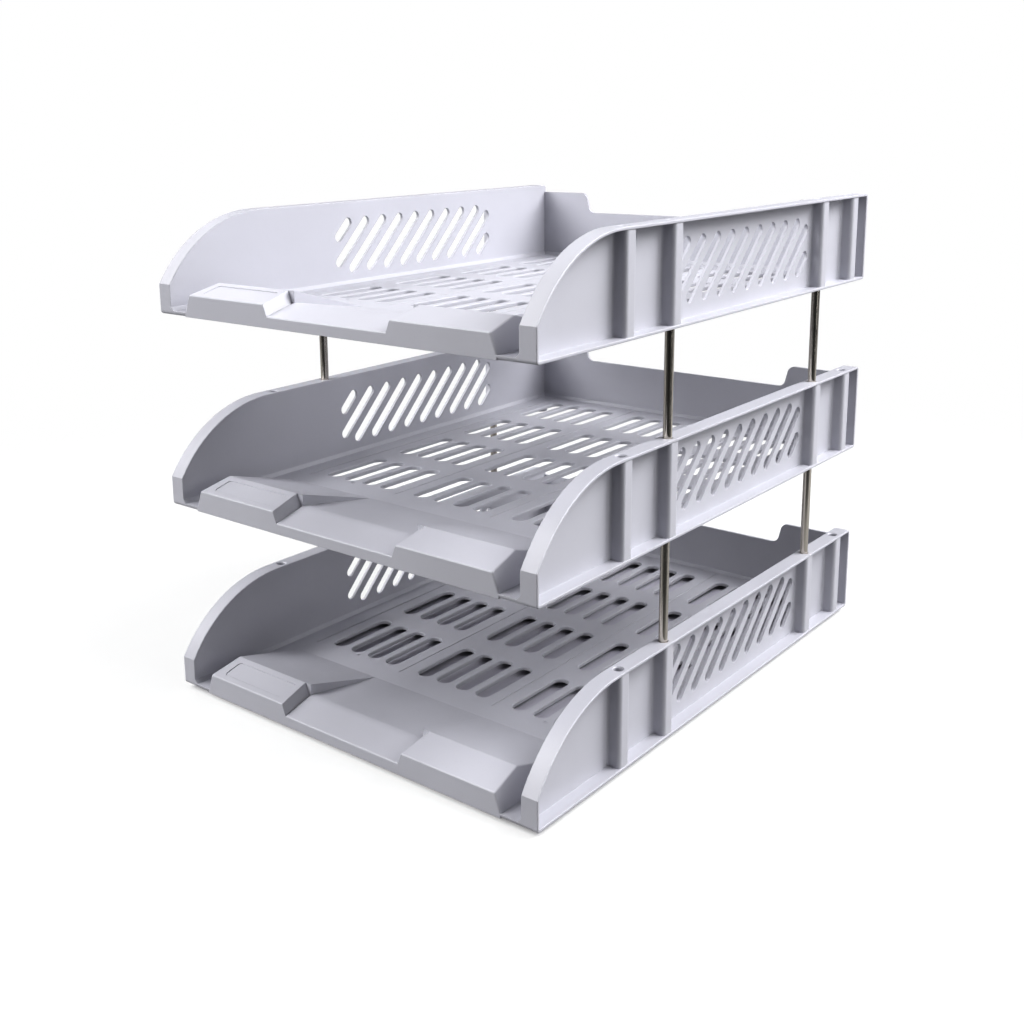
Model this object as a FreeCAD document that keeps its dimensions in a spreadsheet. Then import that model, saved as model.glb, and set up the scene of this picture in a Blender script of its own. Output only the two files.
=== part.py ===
import FreeCAD, Part
import os
import re

import Sketcher

# Desk letter tray: three identical moulded trays stacked on eight steel rods.
# Frame: +Z up, the front (open) side faces -Y, the origin is on the desk under the middle
# of the bottom tray.  Inside a tray body Y runs from its front edge, X from its middle.

SHEET = "Sizes"

# name, value in millimetres (or a plain count or slope), what it is
SIZES = [
    ("tray_width", 255.0, "outside width over the side flanges"),
    ("tray_depth", 346.0, "outside depth, front edge to back wall"),
    ("side_height", 53.0, "outside height of one tray"),
    ("tier_gap", 56.0, "free height between two trays"),
    ("wall_thickness", 1.8, "side webs, back wall and front apron"),
    ("floor_thickness", 2.3, "floor, lip and ramp skin"),
    ("rim_thickness", 1.6, "flange around each side web"),
    ("front_height", 16.5, "upright front end of a side"),
    ("shoulder_length", 66.0, "depth of the curved shoulder of a side"),
    ("back_corner_radius", 2.5, "upper back corner of a side"),
    ("foot_corner_radius", 2.0, "lower corners of a side"),
    ("rim_edge_radius", 0.45, "rounded edges of the side flanges"),
    ("foot_bevel", 2.0, "bevel between the floor and the walls"),
    ("stand_height", 3.0, "moulded foot under the floor"),
    ("stand_diameter", 10.0, "moulded foot under the floor"),
    ("stand_edge_radius", 0.6, "rounded lower edge of a moulded foot"),
    ("front_stand_place", 79.0, "front edge to the front feet"),
    ("back_stand_place", 26.0, "back face to the rear feet"),
    ("rod_diameter", 4.8, "steel rod"),
    ("rod_clearance", 0.05, "gap around a rod in its socket"),
    ("rod_chamfer", 0.5, "bevel on both ends of a rod"),
    ("socket_depth", 20.0, "how far a rod goes into a column"),
    ("socket_lead", 0.6, "countersink at the mouth of a socket"),
    ("boss_wall", 2.05, "wall around a socket"),
    ("column_inset", 0.4, "step from the flange edge back to a column"),
    ("column_radius", 2.2, "rounded outer corners of a column"),
    ("column_root_radius", 1.2, "fillet from a column into the side web"),
    ("first_column_place", 74.0, "front edge to the first column"),
    ("last_column_place", 16.5, "back face to the last column"),
    ("column_spacing", 43.0, "between the two columns of a pair"),
    ("vent_width", 6.4, "slanted opening in a side"),
    ("vent_pitch", 15.7, "from one slanted opening to the next"),
    ("vent_slope", 1.0, "rise of a slanted opening over its run"),
    ("vent_margin", 4.5, "solid web between a column and the vents"),
    ("vent_floor_gap", 8.8, "solid web under the vents"),
    ("vent_top_gap", 9.8, "solid web over the vents"),
    ("vent_shortest", 8.0, "a vent with a shorter run is left out"),
    ("ear_drop", 5.0, "side top to the top of a back wall ear"),
    ("dip_drop", 19.0, "side top to the lowered back wall"),
    ("ear_width", 37.0, "top of a back wall ear"),
    ("ear_lean", 3.5, "sideways run of an ear's inner flank"),
    ("ear_radius", 5.0, "rounding above and below an ear's flank"),
    ("lip_length", 19.5, "depth of the rising front lip"),
    ("ramp_length", 70.0, "front edge to the foot of the ramps"),
    ("pad_front_height", 12.0, "raised pad at the front edge"),
    ("pad_rear_height", 16.8, "raised pad at its ridge"),
    ("scoop_front_height", 5.8, "lowered middle at the front edge"),
    ("scoop_rear_height", 10.8, "lowered middle at its ridge"),
    ("pad_side_gap", 12.0, "floor between a pad and the side web"),
    ("pad_width", 65.0, "foot width of a raised pad"),
    ("pad_bevel", 3.5, "run of a pad's sloping outer end"),
    ("pad_draft", 2.4, "run of a pad's inner end"),
    ("lip_edge_radius", 0.9, "rounded front edges of the lip"),
    ("pad_ridge_radius", 2.0, "rounded ridge of a raised pad"),
    ("pad_corner_radius", 1.0, "rounded upper edge of a pad's outer end"),
    ("scoop_ridge_radius", 12.0, "rounded ridge of the lowered middle"),
    ("label_depth", 0.4, "sunk label panel on the left pad"),
    ("label_side_margin", 7.0, "label panel to the ends of the pad"),
    ("label_edge_margin", 4.0, "label panel to the front edge and the ridge"),
    ("label_radius", 2.0, "corners of the label panel"),
    ("slot_width", 9.3, "floor slot"),
    ("slot_length", 46.8, "floor slot"),
    ("slot_pitch", 14.45, "from one floor slot to the next"),
    ("slot_edge_radius", 0.7, "rounded upper edge of a floor slot"),
    ("row_pitch", 64.1, "from one row of slots to the next"),
    ("first_row_place", 88.8, "front edge to the first row"),
    ("row_back_margin", 16.0, "least floor behind the last row"),
    ("band_margin", 13.85, "side web to the outermost groove"),
    ("band_count", 3, "bands of slots across the floor"),
    ("groove_width", 0.8, "fine groove between two bands"),
    ("groove_depth", 0.35, "fine groove between two bands"),
    ("groove_front_place", 84.0, "front edge to the start of a groove"),
    ("groove_back_margin", 5.0, "back wall to the end of a groove"),
    ("gate_diameter", 2.6, "sunk moulding gate ahead of a band"),
    ("gate_depth", 0.3, "sunk moulding gate ahead of a band"),
]

# Places and sizes that follow from the ones above, as expressions on the sheet.
OUTER = "(tray_width / 2)"
SOCKET_DIAMETER = "(rod_diameter + 2 * rod_clearance)"
COLUMN_WIDTH = f"({SOCKET_DIAMETER} + 2 * boss_wall)"
FLANGE_WIDTH = f"(column_inset + {COLUMN_WIDTH})"
INNER = f"({OUTER} - {FLANGE_WIDTH})"
WEB_OUTER = f"({INNER} + wall_thickness)"
COLUMN_FACE = f"({OUTER} - column_inset)"
SOCKET_X = f"({COLUMN_FACE} - {COLUMN_WIDTH} / 2)"
TIER_PITCH = "(side_height + tier_gap)"
COLUMN_PLACES = [
    "first_column_place",
    "(first_column_place + column_spacing)",
    "(tray_depth - last_column_place - column_spacing)",
    "(tray_depth - last_column_place)",
]
ROD_COLUMNS = COLUMN_PLACES[1:3]
PAD_BASE = f"({INNER} - pad_side_gap)"
PAD_INNER = f"({PAD_BASE} - pad_width)"
PAD_SLOPE = "((pad_rear_height - pad_front_height) / lip_length)"
SCOOP_SLOPE = "((scoop_rear_height - scoop_front_height) / lip_length)"
BAND_WIDTH = f"((2 * {INNER} - 2 * band_margin) / band_count)"
OUTER_GROOVE = f"({INNER} - band_margin)"


def bound(text):
    """An expression that reads every size named in text from the sheet."""
    return re.sub(r"[a-z]+(?:_[a-z]+)+", lambda found: f"{SHEET}.{found.group(0)}", str(text))


def value(text):
    """The number that an expression on the sheet gives now."""
    return float(doc.getObject(SHEET).evalExpression(bound(text)))


def make_sheet():
    """Write every driving size into the spreadsheet, one named cell each."""
    sheet = doc.addObject("Spreadsheet::Sheet", SHEET)
    for row, (name, number, meaning) in enumerate(SIZES, start=1):
        sheet.set(f"A{row}", name)
        sheet.set(f"B{row}", str(number))
        sheet.set(f"C{row}", meaning)
        sheet.setAlias(f"B{row}", name)
    doc.recompute()


class Outline:
    """A sketch on one of its body's origin planes, lifted by an expression."""

    def __init__(self, body, name, plane, level="0"):
        self.sketch = body.newObject("Sketcher::SketchObject", name)
        support = [part for part in body.Origin.OriginFeatures if part.Role == plane]
        self.sketch.AttachmentSupport = [(support[0], "")]
        self.sketch.MapMode = "FlatFace"
        self.sketch.setExpression("AttachmentOffset.Base.z", bound(level))

    def _size(self, kind, *where, size):
        """Add a dimension whose value follows the sheet."""
        index = self.sketch.addConstraint(Sketcher.Constraint(kind, *where, value(size)))
        self.sketch.setExpression(f"Constraints[{index}]", bound(size))

    def _pin(self, edge, point, x, y):
        """Hold a point of an edge at a place measured from the sketch origin."""
        self._size("DistanceX", -1, 1, edge, point, size=x)
        self._size("DistanceY", -1, 1, edge, point, size=y)

    def polygon(self, corners):
        """Close straight sides round the corners, in clockwise order.

        A corner may carry a third entry: the radius of the convex arc that arrives at it.
        """
        ends = []
        for index, corner in enumerate(corners):
            start = FreeCAD.Vector(value(corners[index - 1][0]), value(corners[index - 1][1]), 0)
            stop = FreeCAD.Vector(value(corner[0]), value(corner[1]), 0)
            if len(corner) == 2:
                edge = self.sketch.addGeometry(Part.LineSegment(start, stop), False)
                ends.append((edge, 1, 2))
                continue
            radius = value(corner[2])
            middle = (start + stop) / 2
            across = FreeCAD.Vector(stop.y - start.y, start.x - stop.x, 0).normalize()
            centre = middle + across * (radius**2 - (stop - middle).Length**2) ** 0.5
            bulge = centre - across * radius
            edge = self.sketch.addGeometry(Part.Arc(stop, bulge, start), False)
            self._size("Radius", edge, size=corner[2])
            first_is_stop = self.sketch.getPoint(edge, 1).distanceToPoint(stop) < 1e-6
            ends.append((edge, 2, 1) if first_is_stop else (edge, 1, 2))
        for index, corner in enumerate(corners):
            edge, _, arriving = ends[index]
            following, leaving, _ = ends[(index + 1) % len(ends)]
            self.sketch.addConstraint(
                Sketcher.Constraint("Coincident", edge, arriving, following, leaving)
            )
            self._pin(edge, arriving, corner[0], corner[1])

    def circle(self, x, y, diameter):
        centre = FreeCAD.Vector(value(x), value(y), 0)
        up = FreeCAD.Vector(0, 0, 1)
        edge = self.sketch.addGeometry(Part.Circle(centre, up, value(diameter) / 2), False)
        self._size("Diameter", edge, size=diameter)
        self._pin(edge, 3, x, y)

    def capsule(self, first, second, width):
        """A slot with round ends, from the centre of one end to the centre of the other."""
        radius = value(width) / 2
        start = FreeCAD.Vector(value(first[0]), value(first[1]), 0)
        stop = FreeCAD.Vector(value(second[0]), value(second[1]), 0)
        along = (stop - start).normalize() * radius
        aside = FreeCAD.Vector(-along.y, along.x, 0)
        near = self.sketch.addGeometry(Part.Arc(start + aside, start - along, start - aside), False)
        side = self.sketch.addGeometry(Part.LineSegment(start - aside, stop - aside), False)
        far = self.sketch.addGeometry(Part.Arc(stop - aside, stop + along, stop + aside), False)
        back = self.sketch.addGeometry(Part.LineSegment(stop + aside, start + aside), False)
        for one, two in [(near, side), (side, far), (far, back), (back, near)]:
            self.sketch.addConstraint(Sketcher.Constraint("Tangent", one, 2, two, 1))
        self.sketch.addConstraint(Sketcher.Constraint("Equal", near, far))
        self._size("Radius", near, size=f"{width} / 2")
        self._pin(near, 3, first[0], first[1])
        self._pin(far, 3, second[0], second[1])


def add_feature(body, kind, name, outline, length, reverse=False):
    """Pad or pocket an outline by an expression, and check that it changed the body."""
    before = body.Shape.Volume if body.Tip else 0.0
    feature = body.newObject(f"PartDesign::{kind}", name)
    feature.Profile = outline.sketch
    feature.setExpression("Length", bound(length))
    feature.Reversed = reverse
    body.Tip = feature
    doc.recompute()
    if abs(body.Shape.Volume - before) < 1e-6:
        raise RuntimeError(f"{body.Name}.{name} changed nothing")
    return feature


def edges_where(feature, test):
    """Names of the feature's edges that pass a test."""
    names = [f"Edge{n}" for n, edge in enumerate(feature.Shape.Edges, start=1) if test(edge)]
    if not names:
        raise RuntimeError(f"no edge of {feature.Name} matches")
    return names


def dress_edges(body, kind, name, size, test):
    """Fillet or chamfer the edges of the body that pass a test."""
    base = body.Tip
    feature = body.newObject(f"PartDesign::{kind}", name)
    feature.Base = (base, edges_where(base, test))
    feature.setExpression("Radius" if kind == "Fillet" else "Size", bound(size))
    body.Tip = feature
    doc.recompute()
    if not feature.Shape.isValid() or feature.Shape.Volume < 1:
        raise RuntimeError(f"{body.Name}.{name} failed")
    return feature


def kind_of(edge):
    """The type of an edge's curve, or nothing where FreeCAD has no name for it."""
    try:
        return edge.Curve.TypeId
    except TypeError:
        return None


def spans(edge, axis, low, high, slack=0.01):
    """True where an edge stays between two places on an axis."""
    box = edge.BoundBox
    least = getattr(box, f"{axis}Min")
    most = getattr(box, f"{axis}Max")
    return least > low - slack and most < high + slack


def stays_at(edge, **places):
    """True where an edge lies at one place on each named axis."""
    return all(spans(edge, axis, place, place) for axis, place in places.items())


def runs_along(edge, axis):
    """True for a straight edge along one axis."""
    if kind_of(edge) != "Part::GeomLine":
        return False
    return abs(abs(getattr(edge.tangentAt(edge.FirstParameter), axis)) - 1) < 1e-6


def add_side(body):
    """One side: a thin web inside, with a flange all round it towards the outside."""
    drop = "(side_height - front_height)"
    radius = f"((shoulder_length ^ 2 + {drop} ^ 2) / (2 * {drop}))"
    outline = Outline(body, "side_outline", "YZ_Plane", INNER)
    outline.polygon([
        ("0", "0"),
        ("0", "front_height"),
        ("shoulder_length", "side_height", radius),
        ("tray_depth", "side_height"),
        ("tray_depth", "0"),
    ])
    add_feature(body, "Pad", "side", outline, FLANGE_WIDTH)
    depth = value("tray_depth")
    dress_edges(
        body, "Fillet", "side_back_corner", "back_corner_radius",
        lambda edge: runs_along(edge, "x") and stays_at(edge, Y=depth, Z=value("side_height")),
    )
    dress_edges(
        body, "Fillet", "side_feet", "foot_corner_radius",
        lambda edge: runs_along(edge, "x") and stays_at(edge, Z=0)
        and (stays_at(edge, Y=depth) or stays_at(edge, Y=0)),
    )
    inner_radius = f"({radius} - rim_thickness)"
    reach = "(shoulder_length - rim_thickness)"
    inner_front = f"(side_height - {radius} + sqrt({inner_radius} ^ 2 - {reach} ^ 2))"
    recess = Outline(body, "side_recess_outline", "YZ_Plane", OUTER)
    recess.polygon([
        ("rim_thickness", "rim_thickness"),
        ("rim_thickness", inner_front),
        ("shoulder_length", "side_height - rim_thickness", inner_radius),
        ("tray_depth - wall_thickness", "side_height - rim_thickness"),
        ("tray_depth - wall_thickness", "rim_thickness"),
    ])
    add_feature(body, "Pocket", "side_recess", recess, f"{FLANGE_WIDTH} - wall_thickness")


def round_side_edges(body):
    """Take the sharpness off the flange, inside and outside."""
    inner = value(INNER)
    outer = value(OUTER)
    floor = value("rim_thickness + foot_corner_radius")
    dress_edges(
        body, "Fillet", "flange_edges", "rim_edge_radius",
        lambda edge: stays_at(edge, X=outer) or (
            stays_at(edge, X=inner) and edge.BoundBox.ZMax > floor
            and not runs_along(edge, "z")
        ),
    )


def add_columns(body):
    """Four columns between the flanges, which hold the rods."""
    outline = Outline(body, "column_outline", "XY_Plane")
    for place in COLUMN_PLACES:
        front = f"({place} - {COLUMN_WIDTH} / 2)"
        back = f"({place} + {COLUMN_WIDTH} / 2)"
        outline.polygon([
            (INNER, front),
            (INNER, back),
            (COLUMN_FACE, back),
            (COLUMN_FACE, front),
        ])
    add_feature(body, "Pad", "columns", outline, "side_height - rim_thickness / 2")
    face = value(COLUMN_FACE)
    web = value(WEB_OUTER)
    low = value("rim_thickness")
    high = value("side_height - rim_thickness")
    front = value("first_column_place - boss_wall") - value(COLUMN_WIDTH)
    back = value("tray_depth - wall_thickness") - low
    dress_edges(
        body, "Fillet", "column_corners", "column_radius",
        lambda edge: runs_along(edge, "z") and stays_at(edge, X=face),
    )
    dress_edges(
        body, "Fillet", "column_roots", "column_root_radius",
        lambda edge: runs_along(edge, "z") and stays_at(edge, X=web)
        and spans(edge, "Z", low, high) and spans(edge, "Y", front, back),
    )


def add_sockets(body):
    """A blind socket in the top and in the foot of every column."""
    for name, level, reverse in [("top", "side_height", False), ("foot", "0", True)]:
        outline = Outline(body, f"{name}_socket_outline", "XY_Plane", level)
        for place in COLUMN_PLACES:
            outline.circle(SOCKET_X, place, SOCKET_DIAMETER)
        add_feature(body, "Pocket", f"{name}_sockets", outline, "socket_depth", reverse)
    top = value("side_height")
    dress_edges(
        body, "Chamfer", "socket_mouths", "socket_lead",
        lambda edge: kind_of(edge) == "Part::GeomCircle"
        and abs(edge.Curve.Radius - value(SOCKET_DIAMETER) / 2) < 1e-6
        and (stays_at(edge, Z=0) or stays_at(edge, Z=top)),
    )


def add_vents(body):
    """Slanted openings in the web between the two middle columns."""
    front = f"({ROD_COLUMNS[0]} + {COLUMN_WIDTH} / 2 + vent_margin + vent_width / 2)"
    back = f"({ROD_COLUMNS[1]} - {COLUMN_WIDTH} / 2 - vent_margin - vent_width / 2)"
    low = "(vent_floor_gap + vent_width / 2)"
    high = "(side_height - vent_top_gap - vent_width / 2)"
    half_run = f"(({high} - {low}) / vent_slope / 2)"
    reach = value(f"({back} - {front}) / 2 + {half_run} - vent_shortest")
    each_way = int(reach / value("vent_pitch"))
    outline = Outline(body, "vent_outline", "YZ_Plane", WEB_OUTER)
    for number in range(-each_way, each_way + 1):
        middle = f"(({front} + {back}) / 2 + {number} * vent_pitch)"
        start = f"max({middle} - {half_run}; {front})"
        stop = f"min({middle} + {half_run}; {back})"
        start_height = f"({low} + ({start} - {middle} + {half_run}) * vent_slope)"
        stop_height = f"({high} - ({middle} + {half_run} - {stop}) * vent_slope)"
        outline.capsule((start, start_height), (stop, stop_height), "vent_width")
    add_feature(body, "Pocket", "vents", outline, "2 * wall_thickness")


def add_floor(body):
    outline = Outline(body, "floor_outline", "XY_Plane")
    outline.polygon([
        ("0", "0"),
        ("0", "tray_depth"),
        (WEB_OUTER, "tray_depth"),
        (WEB_OUTER, "0"),
    ])
    add_feature(body, "Pad", "floor", outline, "floor_thickness")


def add_back_wall(body):
    """Back wall with an ear at the side and a lowered middle."""
    ear_top = f"({INNER} - ear_width)"
    outline = Outline(body, "back_outline", "XZ_Plane", "-tray_depth")
    outline.polygon([
        ("0", "0"),
        ("0", "side_height - dip_drop"),
        (f"{ear_top} - ear_lean", "side_height - dip_drop"),
        (ear_top, "side_height - ear_drop"),
        (WEB_OUTER, "side_height - ear_drop"),
        (WEB_OUTER, "0"),
    ])
    add_feature(body, "Pad", "back_wall", outline, "wall_thickness")
    dip = value("side_height - dip_drop")
    ear = value("side_height - ear_drop")
    dress_edges(
        body, "Fillet", "ear_flank", "ear_radius",
        lambda edge: runs_along(edge, "y")
        and (stays_at(edge, X=value(f"{ear_top} - ear_lean"), Z=dip)
             or stays_at(edge, X=value(ear_top), Z=ear)),
    )


def bevel_wall_feet(body):
    """A bevel where the floor meets the side web and the back wall."""
    level = value("floor_thickness")
    inner = value(INNER)
    back = value("tray_depth - wall_thickness")
    dress_edges(
        body, "Chamfer", "wall_feet", "foot_bevel",
        lambda edge: stays_at(edge, Z=level) and (stays_at(edge, X=inner) or stays_at(edge, Y=back)),
    )


def add_stands(body):
    """Round moulded feet under the floor, outside the slots."""
    outline = Outline(body, "stand_outline", "XY_Plane")
    for place in ["front_stand_place", "(tray_depth - back_stand_place)"]:
        outline.circle(OUTER_GROOVE, place, "stand_diameter")
    add_feature(body, "Pad", "stands", outline, "stand_height", reverse=True)
    low = -value("stand_height")
    dress_edges(
        body, "Fillet", "stand_edges", "stand_edge_radius",
        lambda edge: kind_of(edge) == "Part::GeomCircle" and stays_at(edge, Z=low),
    )


def add_lip(body):
    """Rising front lip: a raised pad, the lowered middle, and ramps behind both."""
    parts = [
        ("scoop", "0", PAD_INNER, "scoop_front_height", "scoop_rear_height", "scoop_ridge_radius"),
        ("pad", PAD_INNER, PAD_BASE, "pad_front_height", "pad_rear_height", "pad_ridge_radius"),
    ]
    for name, start, stop, front_height, rear_height, ridge_radius in parts:
        outline = Outline(body, f"{name}_outline", "YZ_Plane", start)
        outline.polygon([
            ("0", "0"),
            ("0", front_height),
            ("lip_length", rear_height),
            ("ramp_length", "floor_thickness"),
            ("ramp_length", "0"),
        ])
        add_feature(body, "Pad", name, outline, f"{stop} - {start}")
        dress_edges(
            body, "Fillet", f"{name}_front_edge", "lip_edge_radius",
            lambda edge: runs_along(edge, "x") and stays_at(edge, Y=0, Z=value(front_height)),
        )
        dress_edges(
            body, "Fillet", f"{name}_ridge", ridge_radius,
            lambda edge: runs_along(edge, "x")
            and stays_at(edge, Y=value("lip_length"), Z=value(rear_height)),
        )
    bevel_top = "(2 * pad_rear_height)"
    bevel_rise = "(pad_front_height - floor_thickness)"
    bevel_run = f"(pad_bevel * ({bevel_top} - floor_thickness) / {bevel_rise})"
    outline = Outline(body, "pad_bevel_outline", "XZ_Plane")
    outline.polygon([
        (PAD_BASE, "floor_thickness"),
        (f"{PAD_BASE} - {bevel_run}", bevel_top),
        (PAD_BASE, bevel_top),
    ])
    add_feature(body, "Pocket", "pad_outer_end", outline, "ramp_length")
    outer_end = value(PAD_BASE)
    bevel_start = value(f"{PAD_BASE} - pad_bevel")
    floor = value("floor_thickness")
    dress_edges(
        body, "Fillet", "pad_corner", "pad_corner_radius",
        lambda edge: stays_at(edge, Y=0) and spans(edge, "X", bevel_start, outer_end)
        and edge.BoundBox.ZMin > floor - 0.01 and edge.BoundBox.ZMax > floor + 1,
    )
    draft_rise = "(pad_front_height - scoop_front_height)"
    draft_run = f"(pad_draft * ({bevel_top} - scoop_front_height) / {draft_rise})"
    outline = Outline(body, "pad_draft_outline", "XZ_Plane")
    outline.polygon([
        (PAD_INNER, "scoop_front_height"),
        (PAD_INNER, bevel_top),
        (f"{PAD_INNER} + {draft_run}", bevel_top),
    ])
    add_feature(body, "Pocket", "pad_inner_end", outline, "lip_length")


def hollow_lip(body):
    """Take the solid out from under the lip, down to an even skin."""
    step = f"({PAD_INNER} + pad_draft + wall_thickness)"
    end = f"({PAD_BASE} - pad_bevel - wall_thickness)"
    parts = [
        ("scoop", "0", step, "scoop_front_height", "scoop_rear_height", SCOOP_SLOPE),
        ("pad", step, end, "pad_front_height", "pad_rear_height", PAD_SLOPE),
    ]
    for name, start, stop, front_height, rear_height, slope in parts:
        outline = Outline(body, f"{name}_hollow_outline", "YZ_Plane", stop)
        outline.polygon([
            ("wall_thickness", "0"),
            ("wall_thickness", f"{front_height} + {slope} * wall_thickness - floor_thickness"),
            ("lip_length", f"{rear_height} - floor_thickness"),
            ("ramp_length", "0"),
        ])
        add_feature(body, "Pocket", f"{name}_hollow", outline, f"{stop} - {start}")


def add_floor_slots(body):
    """Bands of long slots with round ends, in rows from front to back."""
    floor_end = "tray_depth - wall_thickness - row_back_margin"
    room = value(f"{floor_end} - first_row_place - slot_length")
    rows = 1 + int(room / value("row_pitch") + 1e-9)
    across = int(value(f"{BAND_WIDTH} / slot_pitch"))
    bands = int(value("band_count"))
    outline = Outline(body, "slot_outline", "XY_Plane", "floor_thickness")
    for band in range(bands):
        middle = f"({band} - (band_count - 1) / 2) * {BAND_WIDTH}"
        for number in range(across):
            x = f"({middle} + ({number} - {(across - 1) / 2}) * slot_pitch)"
            if value(x) > 0:
                start = (x, "first_row_place + slot_width / 2")
                stop = (x, "first_row_place + slot_length - slot_width / 2")
                outline.capsule(start, stop, "slot_width")
    slots = add_feature(body, "Pocket", "slots", outline, "2 * floor_thickness")
    y_axis = [part for part in body.Origin.OriginFeatures if part.Role == "Y_Axis"][0]
    rows_feature = body.newObject("PartDesign::LinearPattern", "slot_rows")
    rows_feature.Originals = [slots]
    rows_feature.Direction = (y_axis, [""])
    rows_feature.Occurrences = rows
    rows_feature.setExpression("Length", bound(f"{rows - 1} * row_pitch"))
    body.Tip = rows_feature
    doc.recompute()
    level = value("floor_thickness")
    front = value("first_row_place")
    back = value("tray_depth - wall_thickness - row_back_margin")
    outside = value(OUTER_GROOVE)
    dress_edges(
        body, "Fillet", "slot_edges", "slot_edge_radius",
        lambda edge: stays_at(edge, Z=level) and spans(edge, "Y", front, back)
        and spans(edge, "X", 0, outside),
    )


def add_floor_marks(body):
    """Fine grooves along the edges of the bands, and a sunk gate ahead of a band."""
    grooves = Outline(body, "groove_outline", "XY_Plane", "floor_thickness")
    bands = int(value("band_count"))
    for number in range(bands + 1):
        x = f"(({number} - band_count / 2) * {BAND_WIDTH})"
        if value(x) > 0:
            start = (x, "groove_front_place")
            stop = (x, "tray_depth - wall_thickness - groove_back_margin")
            grooves.capsule(start, stop, "groove_width")
    add_feature(body, "Pocket", "grooves", grooves, "groove_depth")
    gates = Outline(body, "gate_outline", "XY_Plane", "floor_thickness")
    for band in range(bands):
        x = f"(({band} - (band_count - 1) / 2) * {BAND_WIDTH})"
        if value(x) > 1:
            gates.circle(x, "first_row_place - gate_diameter", "gate_diameter")
    add_feature(body, "Pocket", "gates", gates, "gate_depth")


def mirror_half(body):
    """Reflect the finished right half to the left."""
    middle = [part for part in body.Origin.OriginFeatures if part.Role == "YZ_Plane"][0]
    mirror = body.newObject("PartDesign::Mirrored", "both_halves")
    mirror.TransformMode = "Whole shape"
    mirror.MirrorPlane = (middle, [""])
    body.Tip = mirror
    doc.recompute()


def add_label_panel(body):
    """A shallow panel for a label, sunk square to the slope of the left pad."""
    outline = Outline(body, "label_outline", "XY_Plane")
    outline.sketch.setExpression("AttachmentOffset.Base.z", bound("pad_front_height"))
    outline.sketch.AttachmentOffset = FreeCAD.Placement(
        FreeCAD.Vector(0, 0, value("pad_front_height")),
        FreeCAD.Rotation(FreeCAD.Vector(1, 0, 0), 1),
    )
    outline.sketch.setExpression("AttachmentOffset.Rotation.Angle", bound(f"atan({PAD_SLOPE})"))
    slope_length = f"(lip_length * sqrt(1 + {PAD_SLOPE} ^ 2))"
    left = f"-({PAD_BASE} - pad_bevel - label_side_margin)"
    right = f"-({PAD_INNER} + label_side_margin)"
    back = f"({slope_length} - label_edge_margin)"
    outline.polygon([
        (left, "label_edge_margin"),
        (left, back),
        (right, back),
        (right, "label_edge_margin"),
    ])
    add_feature(body, "Pocket", "label_panel", outline, "label_depth")
    normal = FreeCAD.Vector(0, -value(PAD_SLOPE), 1).normalize()
    dress_edges(
        body, "Fillet", "label_corners", "label_radius",
        lambda edge: kind_of(edge) == "Part::GeomLine"
        and abs(edge.Length - value("label_depth")) < 1e-4
        and abs(edge.tangentAt(edge.FirstParameter).dot(normal)) > 1 - 1e-6
        and edge.BoundBox.XMax < value(right) + 1,
    )


def make_tray(name, level):
    """One moulded tray, standing at its level of the stack."""
    body = doc.addObject("PartDesign::Body", name)
    body.Label = name
    add_floor(body)
    add_side(body)
    add_back_wall(body)
    bevel_wall_feet(body)
    add_columns(body)
    round_side_edges(body)
    add_sockets(body)
    add_vents(body)
    add_lip(body)
    hollow_lip(body)
    add_floor_slots(body)
    add_floor_marks(body)
    add_stands(body)
    mirror_half(body)
    add_label_panel(body)
    body.setExpression("Placement.Base.y", bound("-tray_depth / 2"))
    body.setExpression("Placement.Base.z", bound(f"stand_height + {level} * {TIER_PITCH}"))
    return body


def make_rod(name, level, side, column):
    """A straight rod with bevelled ends, seated in the columns above and below a gap."""
    body = doc.addObject("PartDesign::Body", name)
    body.Label = name
    outline = Outline(body, "rod_outline", "XZ_Plane")
    radius = "(rod_diameter / 2)"
    length = "(tier_gap + 2 * socket_depth)"
    outline.polygon([
        ("0", "0"),
        ("0", length),
        (f"{radius} - rod_chamfer", length),
        (radius, f"{length} - rod_chamfer"),
        (radius, "rod_chamfer"),
        (f"{radius} - rod_chamfer", "0"),
    ])
    rod = body.newObject("PartDesign::Revolution", "rod")
    rod.Profile = outline.sketch
    rod.ReferenceAxis = (outline.sketch, ["V_Axis"])
    rod.Angle = 360
    body.Tip = rod
    body.setExpression("Placement.Base.x", bound(f"{side} * {SOCKET_X}"))
    body.setExpression("Placement.Base.y", bound(f"{column} - tray_depth / 2"))
    tray_top = f"(stand_height + {level} * {TIER_PITCH} + side_height)"
    body.setExpression("Placement.Base.z", bound(f"{tray_top} - socket_depth"))
    doc.recompute()
    return body


def check_and_write(bodies):
    """Stop on any failed object, then write each piece to its own file."""
    for item in doc.Objects:
        if "Invalid" in item.State or "Error" in item.State:
            raise RuntimeError(f"{item.Name} failed: {item.State}")
    for body in bodies:
        if body.Shape.isNull() or not body.Shape.isValid() or len(body.Shape.Solids) != 1:
            raise RuntimeError(f"{body.Label} is not one valid solid")
    os.makedirs("parts", exist_ok=True)
    for body in bodies:
        body.Shape.exportStep(os.path.join("parts", body.Label + ".step"))
        print(f"{body.Label}: {body.Shape.Volume / 1000:.1f} cm3")


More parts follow.
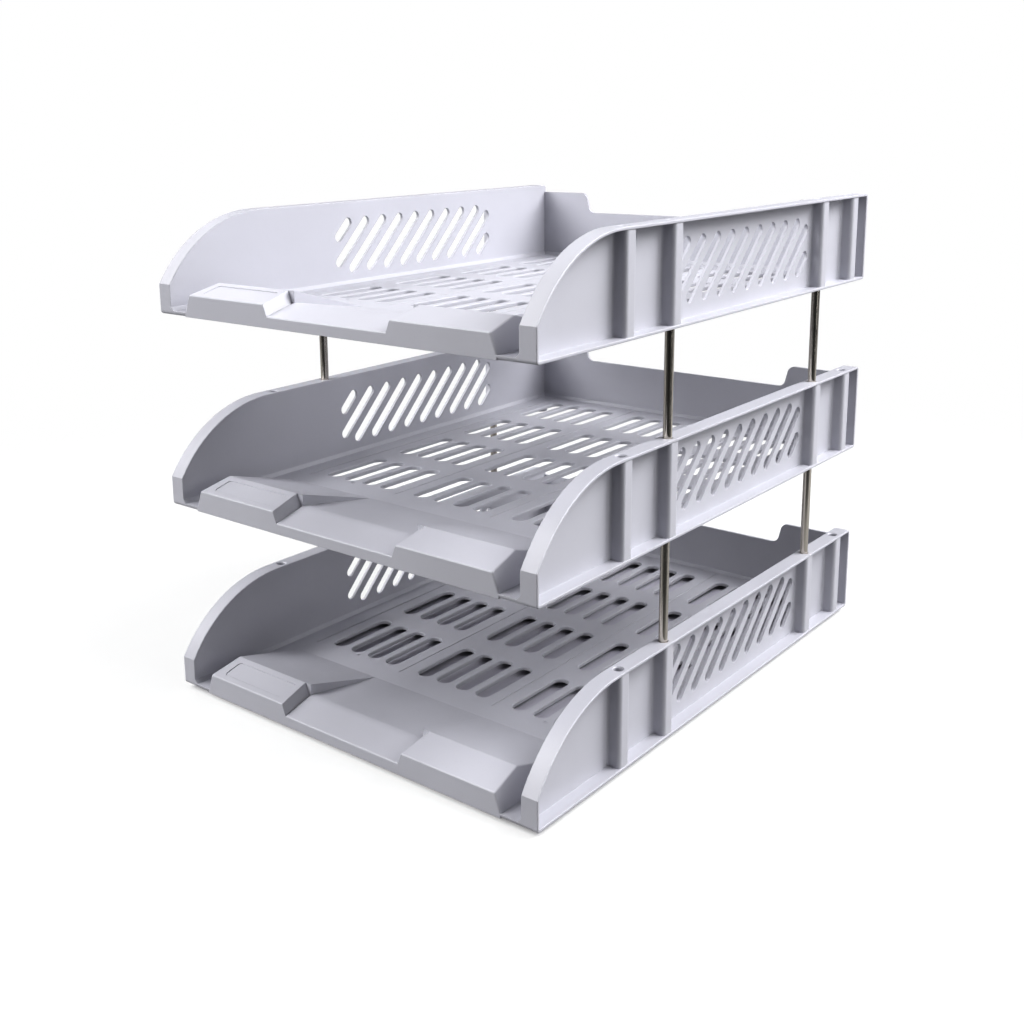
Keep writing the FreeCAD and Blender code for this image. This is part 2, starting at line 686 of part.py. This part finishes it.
doc = FreeCAD.newDocument("letter_tray")
make_sheet()
pieces = []
TRAY_NAMES = ["bottom_tray", "middle_tray", "top_tray"]
GAP_NAMES = ["lower_rod", "upper_rod"]
for tray_level, tray_name in enumerate(TRAY_NAMES):
    pieces.append(make_tray(tray_name, tray_level))
for gap_level, gap_name in enumerate(GAP_NAMES):
    for row_name, rod_column in zip(["front", "rear"], ROD_COLUMNS):
        for side_name, rod_side in [("left", -1), ("right", 1)]:
            rod_name = f"{gap_name}_{row_name}_{side_name}"
            pieces.append(make_rod(rod_name, gap_level, rod_side, rod_column))
doc.recompute()
check_and_write(pieces)
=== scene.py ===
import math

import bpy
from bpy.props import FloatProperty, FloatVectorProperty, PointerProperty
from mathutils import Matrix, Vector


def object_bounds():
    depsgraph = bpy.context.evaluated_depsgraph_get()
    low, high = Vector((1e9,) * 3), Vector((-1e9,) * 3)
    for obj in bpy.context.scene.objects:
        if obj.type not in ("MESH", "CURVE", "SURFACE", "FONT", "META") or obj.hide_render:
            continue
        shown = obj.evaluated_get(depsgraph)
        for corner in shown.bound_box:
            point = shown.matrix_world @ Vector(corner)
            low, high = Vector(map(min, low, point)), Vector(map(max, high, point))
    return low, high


bl_info = {
    "name": "Letter Tray Finishes",
    "version": (1, 0, 0),
    "blender": (4, 5, 0),
    "location": "View3D > Sidebar > Letter Tray",
    "description": "Moulded plastic, plated rods and a plain studio for a stack of letter trays",
    "category": "Material",
}

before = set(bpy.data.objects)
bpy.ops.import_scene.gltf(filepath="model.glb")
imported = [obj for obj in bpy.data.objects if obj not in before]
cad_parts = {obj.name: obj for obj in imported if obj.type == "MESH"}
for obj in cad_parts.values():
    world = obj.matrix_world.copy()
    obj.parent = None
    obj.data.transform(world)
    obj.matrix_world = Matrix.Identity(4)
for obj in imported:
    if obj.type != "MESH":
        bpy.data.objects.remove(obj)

CAD_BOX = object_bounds()
TRAYS = sorted(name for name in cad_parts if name.endswith("_tray"))
RODS = sorted(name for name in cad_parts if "_rod_" in name)


# ---------------------------------------------------------------- shader maths


class Value:
    """A shader socket that takes part in Python arithmetic."""

    def __init__(self, graph, socket):
        self.graph = graph
        self.socket = socket

    def math(self, operation, *values):
        return self.graph.add("ShaderNodeMath", {"operation": operation}, dict(enumerate(values)))

    def __add__(self, other):
        return self.math("ADD", self, other)

    __radd__ = __add__

    def __sub__(self, other):
        return self.math("SUBTRACT", self, other)

    def __rsub__(self, other):
        return self.math("SUBTRACT", other, self)

    def __mul__(self, other):
        return self.math("MULTIPLY", self, other)

    __rmul__ = __mul__

    def __abs__(self):
        return self.math("ABSOLUTE", self)

    def step(self, low, high):
        """Rises smoothly from 0 at low to 1 at high."""
        settings = {"interpolation_type": "SMOOTHSTEP"}
        return self.graph.add("ShaderNodeMapRange", settings, {0: self, 1: low, 2: high})


class Graph:
    """The node tree of one material or world."""

    def __init__(self, tree):
        self.tree = tree
        tree.nodes.clear()

    def add(self, kind, settings=None, sockets=None, output=0):
        """Add a node: settings first, then socket values or links; give one of its outputs."""
        node = self.tree.nodes.new(kind)
        for key, setting in (settings or {}).items():
            setattr(node, key, setting)
        for key, given in (sockets or {}).items():
            if isinstance(given, Value):
                self.tree.links.new(given.socket, node.inputs[key])
            else:
                node.inputs[key].default_value = given
        return Value(self, node.outputs[output]) if len(node.outputs) else None

    def mix(self, share, first, second):
        """Blend two colours."""
        sockets = {0: share, 6: first, 7: second}
        return self.add("ShaderNodeMix", {"data_type": "RGBA"}, sockets, output=2)

    def along(self, point, direction):
        """How far a point or direction reaches along a direction."""
        settings = {"operation": "DOT_PRODUCT"}
        return self.add("ShaderNodeVectorMath", settings, {0: point, 1: direction}, output=1)

    def place(self, scale=(1, 1, 1)):
        """The point on the piece, in its own frame, stretched along each axis."""
        point = self.add("ShaderNodeTexCoord", output="Object")
        if tuple(scale) == (1, 1, 1):
            return point
        return self.add("ShaderNodeVectorMath", {"operation": "MULTIPLY"}, {0: point, 1: scale})

    def noise(self, size, detail=2.0, roughness=0.5, stretch=(1, 1, 1)):
        """Soft random patches of about this size in metres, from 0 to 1."""
        sockets = {"Vector": self.place(stretch), "Scale": 1 / size, "Detail": detail,
                   "Roughness": roughness}
        return self.add("ShaderNodeTexNoise", {"noise_dimensions": "3D"}, sockets)

    def part(self, vector, axis):
        """One of a vector's three numbers."""
        return self.add("ShaderNodeSeparateXYZ", sockets={0: vector}, output="XYZ".index(axis))

    def facing(self, axis):
        """How far the surface turns towards +X, +Y or +Z, from -1 to 1."""
        return self.part(self.add("ShaderNodeTexCoord", output="Normal"), axis)

    def finish(self, shader):
        self.add("ShaderNodeOutputMaterial", sockets={"Surface": shader})


def grey(level):
    return (level, level, level, 1.0)


def tinted(color, factor):
    """A colour made darker or lighter, ready for a socket."""
    return (*(min(1, channel * factor) for channel in color), 1.0)


def new_material(name):
    """An empty material and its graph."""
    material = bpy.data.materials.new(name)
    material.use_nodes = True
    return material, Graph(material.node_tree)


# ------------------------------------------------------------------ properties


class LETTERTRAY_PG_plastic(bpy.types.PropertyGroup):
    """Moulded tray plastic."""

    color: FloatVectorProperty(
        name="Colour", description="Body colour of the moulded plastic",
        subtype="COLOR", size=3, min=0, max=1, default=(0.500, 0.500, 0.545),
    )
    roughness: FloatProperty(
        name="Roughness", description="Mean roughness of the satin surface",
        subtype="FACTOR", min=0, max=1, default=0.42,
    )
    grain_size: FloatProperty(
        name="Grain size", description="Size of the fine eroded texture of the mould",
        unit="LENGTH", min=0.0001, default=0.0007,
    )
    grain_depth: FloatProperty(
        name="Grain depth", description="Depth of the fine eroded texture",
        unit="LENGTH", min=0, default=0.00002,
    )
    wave_size: FloatProperty(
        name="Wave size", description="Spacing of the slow waves of a cooled panel",
        unit="LENGTH", min=0.001, default=0.035,
    )
    wave_depth: FloatProperty(
        name="Wave depth", description="Depth of the slow waves of a cooled panel",
        unit="LENGTH", min=0, default=0.00006,
    )
    edge_radius: FloatProperty(
        name="Edge radius", description="Softness of the moulded edges",
        unit="LENGTH", min=0, default=0.0004,
    )


class LETTERTRAY_PG_steel(bpy.types.PropertyGroup):
    """Plated steel of the rods."""

    color: FloatVectorProperty(
        name="Colour", description="Reflection colour of the plating",
        subtype="COLOR", size=3, min=0, max=1, default=(0.66, 0.62, 0.56),
    )
    roughness: FloatProperty(
        name="Roughness", description="Mean roughness of the plating",
        subtype="FACTOR", min=0, max=1, default=0.16,
    )
    line_pitch: FloatProperty(
        name="Line pitch", description="Spacing of the fine drawing lines round a rod",
        unit="LENGTH", min=0.0001, default=0.0004,
    )


class LETTERTRAY_PG_studio(bpy.types.PropertyGroup):
    """Floor, lights and camera."""

    floor_color: FloatVectorProperty(
        name="Floor colour", description="Colour of the pale floor",
        subtype="COLOR", size=3, min=0, max=1, default=(0.88, 0.88, 0.89),
    )
    floor_bounce: FloatProperty(
        name="Floor bounce", description="How much light the floor throws back at the stack",
        subtype="FACTOR", min=0, max=1, default=0.30,
    )
    # Painted shade: the floor under the stack's outline is painted this darker grey where the
    # camera sees it, standing in for the stack's shadow.
    under_stack_painted_shade: FloatVectorProperty(
        name="Shaded colour", description="Colour of the floor seen through the lowest slots",
        subtype="COLOR", size=3, min=0, max=1, default=(0.52, 0.51, 0.58),
    )
    floor_presence: FloatProperty(
        name="Floor presence", description="How strongly the eye sees the floor against the white",
        subtype="FACTOR", min=0, max=1, default=0.35,
    )
    dark_heading: FloatProperty(
        name="Dark heading", description="Unlit side of the room, turned right from the front",
        subtype="ANGLE", default=math.radians(40),
    )
    # Painted shade: where the floor's thrown-back light starts to be painted dark.
    painted_dark_start: FloatProperty(
        name="Dark start", description="Distance from the stack where the unlit side begins",
        unit="LENGTH", default=0.17,
    )
    floor_radius: FloatProperty(
        name="Floor radius", description="Radius of the floor before it fades out",
        unit="LENGTH", min=0.5, default=2.6,
    )
    camera_place: FloatVectorProperty(
        name="Camera place", description="Where the camera stands",
        subtype="TRANSLATION", unit="LENGTH", size=3, default=(0.4300, -0.5849, 0.3223),
    )
    camera_heading: FloatProperty(
        name="Camera heading", description="Turn of the view to the left of straight ahead",
        subtype="ANGLE", default=math.radians(39.92),
    )
    camera_dip: FloatProperty(
        name="Camera dip", description="How far the view looks down",
        subtype="ANGLE", default=math.radians(12.30),
    )
    camera_roll: FloatProperty(
        name="Camera roll", description="Turn of the view about its own axis",
        subtype="ANGLE", default=math.radians(-0.85),
    )
    lens: FloatProperty(
        name="Lens", description="Focal length on a 36 mm sensor",
        min=10, default=43.63,
    )
    shift_x: FloatProperty(
        name="Shift across", description="Sideways shift of the view", default=0.0507,
    )
    shift_y: FloatProperty(
        name="Shift up", description="Upright shift of the view", default=-0.1188,
    )
    contrast: FloatProperty(
        name="Display gamma", description="Below 1 the picture's mid tones go darker",
        min=0.1, max=2, default=0.8,
    )
    ambient: FloatProperty(
        name="Ambient", description="Strength of the light from all round",
        min=0, default=0.06,
    )


# ------------------------------------------------------------------- materials


def tray_plastic(look):
    """Satin moulded plastic: eroded grain, slow panel waves, faint mottling and paper rub."""
    material, graph = new_material("tray_plastic")
    color = (*look.color, 1.0)
    dark = tinted(look.color, 0.94)
    light = tinted(look.color, 1.04)

    mottle = graph.noise(0.06, detail=3).step(0.3, 0.7)
    speck = graph.noise(0.0011, detail=1).step(0.62, 0.80)
    shade = graph.mix(mottle, color, light)
    shade = graph.mix(speck * 0.35, shade, dark)

    upward = graph.facing("Z").step(0.7, 0.95)
    rub = graph.noise(0.004, detail=3, roughness=0.6, stretch=(1.0, 0.03, 1.0)).step(0.55, 0.80)
    shade = graph.mix(rub * upward * 0.25, shade, light)

    patches = graph.noise(0.018, detail=3)
    rough = look.roughness + (patches - 0.5) * 0.10 - rub * upward * 0.06

    waves = graph.noise(look.wave_size, detail=1)
    grain = graph.noise(look.grain_size, detail=2, roughness=0.6)
    soft = graph.add("ShaderNodeBevel", {"samples": 4}, {"Radius": look.edge_radius})
    slow = graph.add("ShaderNodeBump", sockets={
        "Strength": 1.0, "Distance": look.wave_depth, "Height": waves, "Normal": soft,
    })
    normal = graph.add("ShaderNodeBump", sockets={
        "Strength": 1.0, "Distance": look.grain_depth, "Height": grain, "Normal": slow,
    })
    shader = graph.add("ShaderNodeBsdfPrincipled", sockets={
        "Base Color": shade, "Roughness": rough, "IOR": 1.49, "Normal": normal,
    })
    graph.finish(shader)
    return material


RING_DEPTH = 0.000004  # metres, the drawing lines round a rod


def plated_steel(look):
    """Nickel plating over drawn steel: fine rings, faint smudges and a few dull specks."""
    material, graph = new_material("rod_steel")
    color = (*look.color, 1.0)
    dull = tinted(look.color, 0.72)

    smudge = graph.noise(0.012, detail=3).step(0.45, 0.75)
    speck = graph.noise(0.0016, detail=1).step(0.70, 0.80)
    shade = graph.mix(smudge * 0.25 + speck * 0.4, color, dull)
    lines = graph.noise(look.line_pitch, detail=2, stretch=(0.15, 0.15, 1.0))
    rough = look.roughness + smudge * 0.10 + (lines - 0.5) * 0.06
    normal = graph.add("ShaderNodeBump", sockets={
        "Strength": 1.0, "Distance": RING_DEPTH, "Height": lines,
    })
    shader = graph.add("ShaderNodeBsdfPrincipled", sockets={
        "Base Color": shade, "Metallic": 1.0, "Roughness": rough, "Normal": normal,
    })
    graph.finish(shader)
    return material


def dark_direction(look):
    """Level direction from the stack towards the unlit side of the room."""
    return (math.sin(look.dark_heading), -math.cos(look.dark_heading), 0.0)


RIM_FADE = (0.25, 0.98)  # shares of the floor's radius between which it fades out
WHITE_RANGE = (0.20, 0.75)  # metres from the middle over which the seen floor turns white
OUTLINE = (0.95, 1.0)  # shares of the stack's half width and half depth, at its outline, inside which the seen floor has painted shade
PAINTED_DARK_FADE = 0.14  # painted shade: metres over which the floor's thrown-back light goes dark on its unlit side
PAINTED_DARK_BOUNCE = 0.012  # painted shade: grey that the floor throws back on its unlit side
CLOUD_GREY = 0.92  # the floor's other shade, in slow clouds


def floor_finish(look):
    """A pale plain floor that fades out at its rim. The light it throws back is set apart, with
    painted shade on the unlit side; under the stack the camera sees painted shade.
    """
    material, graph = new_material("studio_floor")
    seen = graph.add("ShaderNodeLightPath", output="Is Camera Ray")
    spot = graph.place()
    flat = graph.add("ShaderNodeVectorMath", {"operation": "LENGTH"}, {0: spot}, output=1)
    rim = flat.step(*(look.floor_radius * share for share in RIM_FADE))
    far = flat.step(*WHITE_RANGE)
    across = abs(graph.part(spot, "X")) * (1 / CAD_BOX[1].x)
    deep = abs(graph.part(spot, "Y")) * (1 / CAD_BOX[1].y)
    outside = across.math("MAXIMUM", across, deep).step(*OUTLINE)
    faint = 1 - (1 - far) * look.floor_presence
    clear_share = rim.math("MAXIMUM", rim, seen * faint) * outside
    # Painted shade: on the unlit side the floor's colour for thrown-back light goes nearly black,
    # darkening the faces of the stack that look that way.
    front = graph.along(spot, dark_direction(look))
    dark = front.step(look.painted_dark_start, look.painted_dark_start + PAINTED_DARK_FADE)
    bounce_with_painted_dark = graph.mix(dark, grey(look.floor_bounce), grey(PAINTED_DARK_BOUNCE))
    clouds = graph.noise(0.4, detail=2)
    pale = graph.mix(clouds, (*look.floor_color, 1.0), grey(CLOUD_GREY))
    # Painted shade: the camera sees the darker grey inside the stack's outline, as if in the
    # stack's shadow.
    painted_shade_ground = graph.mix(seen, bounce_with_painted_dark, (*look.under_stack_painted_shade, 1.0))
    shade = graph.mix(seen * outside, painted_shade_ground, pale)
    matt = graph.add("ShaderNodeBsdfPrincipled", sockets={"Base Color": shade, "Roughness": 0.85})
    clear = graph.add("ShaderNodeBsdfTransparent")
    graph.finish(graph.add("ShaderNodeMixShader", sockets={0: clear_share, 1: matt, 2: clear}))
    return material


def dress(node_name, material):
    """Give a node's faces one finish, and leave its shape alone."""
    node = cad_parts[node_name]
    node.data.materials.clear()
    node.data.materials.append(material)


# ------------------------------------------------------------------- operators


class LETTERTRAY_OT_trays(bpy.types.Operator):
    """Finish the moulded trays"""

    bl_idname = "lettertray.trays"
    bl_label = "Finish Trays"

    def execute(self, context):
        material = tray_plastic(context.scene.lettertray_plastic)
        for name in TRAYS:
            dress(name, material)
        return {"FINISHED"}


class LETTERTRAY_OT_rods(bpy.types.Operator):
    """Finish the plated rods"""

    bl_idname = "lettertray.rods"
    bl_label = "Finish Rods"

    def execute(self, context):
        material = plated_steel(context.scene.lettertray_steel)
        for name in RODS:
            dress(name, material)
        return {"FINISHED"}


# name, direction round the stack and above it in degrees, distance and size in metres, watts
LAMPS = [
    ("front_left", -45, 40, 1.7, 1.0, 25.0),
    ("front_low", -20, 20, 1.7, 0.8, 11.0),
    ("left", -90, 50, 1.7, 1.0, 5.0),
    ("rear_right", 135, 40, 1.7, 1.0, 36.0),
    ("right_high", 100, 50, 1.0, 0.6, 5.0),
    ("right_low", 90, 15, 1.7, 1.0, 9.0),
]


def add_lamp(name, around, above, distance, size, watts):
    """A square soft light that aims at the middle of the stack."""
    middle = (CAD_BOX[0] + CAD_BOX[1]) / 2
    heading = math.radians(around)
    rise = math.radians(above)
    away = Vector((
        math.sin(heading) * math.cos(rise), -math.cos(heading) * math.cos(rise), math.sin(rise),
    ))
    data = bpy.data.lights.new(f"lamp_{name}", "AREA")
    data.shape = "SQUARE"
    data.size = size
    data.energy = watts
    lamp = bpy.data.objects.new(f"lamp_{name}", data)
    lamp.location = middle + away * distance
    lamp.rotation_euler = away.to_track_quat("Z", "Y").to_euler()
    bpy.context.scene.collection.objects.link(lamp)


def add_camera(look):
    """The camera of the main view."""
    data = bpy.data.cameras.new("camera")
    data.lens = look.lens
    data.sensor_width = 36
    data.shift_x = look.shift_x
    data.shift_y = look.shift_y
    data.clip_start = 0.01
    camera = bpy.data.objects.new("camera", data)
    turn = Matrix.Rotation(look.camera_heading, 4, "Z")
    dip = Matrix.Rotation(math.pi / 2 - look.camera_dip, 4, "X")
    roll = Matrix.Rotation(look.camera_roll, 4, "Z")
    camera.matrix_world = Matrix.Translation(look.camera_place) @ turn @ dip @ roll
    bpy.context.scene.collection.objects.link(camera)
    bpy.context.scene.camera = camera


def add_floor(look):
    """A round floor just below the feet of the stack."""
    mesh = bpy.data.meshes.new("studio_floor")
    sides = 96
    turns = [2 * math.pi * number / sides for number in range(sides)]
    rim = [(look.floor_radius * math.cos(t), look.floor_radius * math.sin(t), 0) for t in turns]
    mesh.from_pydata(rim, [], [list(range(sides))])
    mesh.materials.append(floor_finish(look))
    floor = bpy.data.objects.new("studio_floor", mesh)
    bpy.context.scene.collection.objects.link(floor)


UNLIT_TURN = (0.1, 0.7)  # cosines from the unlit direction between which the room goes dark
UNLIT_GREY = 0.05


def add_surroundings(look):
    """White to the eye; the stack itself is lit by soft grey, darker on its unlit side."""
    world = bpy.data.worlds.new("studio")
    world.use_nodes = True
    bpy.context.scene.world = world
    graph = Graph(world.node_tree)
    seen = graph.add("ShaderNodeLightPath", output="Is Camera Ray")
    direction = graph.add("ShaderNodeTexCoord", output="Generated")
    dark = graph.along(direction, dark_direction(look)).step(*UNLIT_TURN)
    room = graph.mix(dark, grey(1.0), grey(UNLIT_GREY))
    light = graph.add("ShaderNodeBackground", sockets={"Color": room, "Strength": look.ambient})
    white = graph.add("ShaderNodeBackground", sockets={"Color": grey(1.0), "Strength": 1.0})
    mixed = graph.add("ShaderNodeMixShader", sockets={0: seen, 1: light, 2: white})
    graph.add("ShaderNodeOutputWorld", sockets={"Surface": mixed})


class LETTERTRAY_OT_studio(bpy.types.Operator):
    """Set up the floor, the soft lights and the camera"""

    bl_idname = "lettertray.studio"
    bl_label = "Set Up Studio"

    def execute(self, context):
        look = context.scene.lettertray_studio
        add_floor(look)
        add_surroundings(look)
        for lamp in LAMPS:
            add_lamp(*lamp)
        add_camera(look)
        view = context.scene.view_settings
        view.view_transform = "Standard"
        view.gamma = look.contrast
        return {"FINISHED"}


# ----------------------------------------------------------------------- panel


class LETTERTRAY_PT_panel(bpy.types.Panel):
    """Finishes and studio of the letter tray"""

    bl_idname = "LETTERTRAY_PT_panel"
    bl_label = "Letter Tray"
    bl_space_type = "VIEW_3D"
    bl_region_type = "UI"
    bl_category = "Letter Tray"

    def draw(self, context):
        for settings, operator in SECTIONS:
            box = self.layout.box()
            group = getattr(context.scene, settings)
            for name in group.__annotations__:
                box.prop(group, name)
            box.operator(operator)


SECTIONS = [
    ("lettertray_plastic", "lettertray.trays"),
    ("lettertray_steel", "lettertray.rods"),
    ("lettertray_studio", "lettertray.studio"),
]
GROUPS = [
    ("lettertray_plastic", LETTERTRAY_PG_plastic),
    ("lettertray_steel", LETTERTRAY_PG_steel),
    ("lettertray_studio", LETTERTRAY_PG_studio),
]
CLASSES = [
    *(group for _, group in GROUPS),
    LETTERTRAY_OT_trays,
    LETTERTRAY_OT_rods,
    LETTERTRAY_OT_studio,
    LETTERTRAY_PT_panel,
]


def register():
    for cls in CLASSES:
        bpy.utils.register_class(cls)
    for name, group in GROUPS:
        setattr(bpy.types.Scene, name, PointerProperty(type=group))


def unregister():
    for name, _ in GROUPS:
        delattr(bpy.types.Scene, name)
    for cls in reversed(CLASSES):
        bpy.utils.unregister_class(cls)


def main():
    register()
    bpy.ops.lettertray.trays()
    bpy.ops.lettertray.rods()
    bpy.ops.lettertray.studio()
    bpy.context.view_layer.update()


if __name__ == "__main__":
    main()
